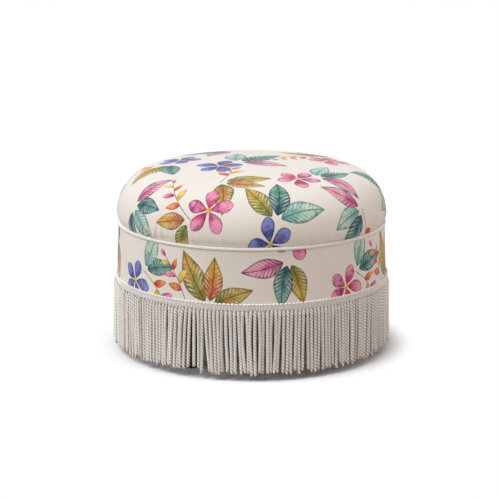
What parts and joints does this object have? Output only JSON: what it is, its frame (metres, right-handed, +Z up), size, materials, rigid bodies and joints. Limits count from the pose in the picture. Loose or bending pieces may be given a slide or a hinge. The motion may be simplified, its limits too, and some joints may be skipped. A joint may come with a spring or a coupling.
{
  "type": "upholstered tuffet",
  "caption": "Round upholstered footstool: a padded drum on short legs with a crowned cushion top, a rope along the seam and a bullion fringe that hides the legs.",
  "frame": {"origin": "centre of the circle of feet, on the floor", "axes": "+Z up along the drum's axis; -Y is the front that the picture shows, turned 12 degrees"},
  "size_m": [0.6254, 0.6254, 0.4208],
  "materials": {
    "printed_cloth": "matte",
    "rope_yarn": "matte",
    "fringe_yarn": "matte",
    "lip_tape": "matte",
    "wadding": "matte",
    "foam": "matte",
    "plywood": "matte",
    "pine": "matte",
    "hardboard": "matte",
    "card": "matte",
    "black_cambric": "matte",
    "staple_wire": "satin",
    "zinc_steel": "satin",
    "black_wood": "satin",
    "glide_nylon": "matte"
  },
  "bodies": {
    "root": {"base_board": "plywood", "base_board_screws": "zinc_steel", "dust_cover": "black_cambric", "dust_cover_staples": "staple_wire", "frame_post_1": "pine", "frame_post_2": "pine", "frame_post_3": "pine", "frame_post_4": "pine", "frame_post_5": "pine", "frame_post_6": "pine", "frame_post_7": "pine", "frame_post_8": "pine", "fringe_cords": "fringe_yarn", "fringe_header": "fringe_yarn", "glide_nails": "zinc_steel", "hanger_bolts": "zinc_steel", "leg_back_left": "black_wood", "leg_back_right": "black_wood", "leg_block_back_left": "plywood", "leg_block_back_right": "plywood", "leg_block_front_left": "plywood", "leg_block_front_right": "plywood", "leg_front_left": "black_wood", "leg_front_right": "black_wood", "leg_glide_back_left": "glide_nylon", "leg_glide_back_right": "glide_nylon", "leg_glide_front_left": "glide_nylon", "leg_glide_front_right": "glide_nylon", "piping_lip": "lip_tape", "rope_piping": "rope_yarn", "side_cover": "printed_cloth", "side_wadding": "wadding", "side_wall": "hardboard", "tack_strip": "card", "tack_strip_staples": "staple_wire", "tee_nuts": "zinc_steel", "top_board": "plywood", "top_board_screws": "zinc_steel", "top_cover": "printed_cloth", "top_foam": "foam", "top_wadding": "wadding"}
  },
  "joints": []
}
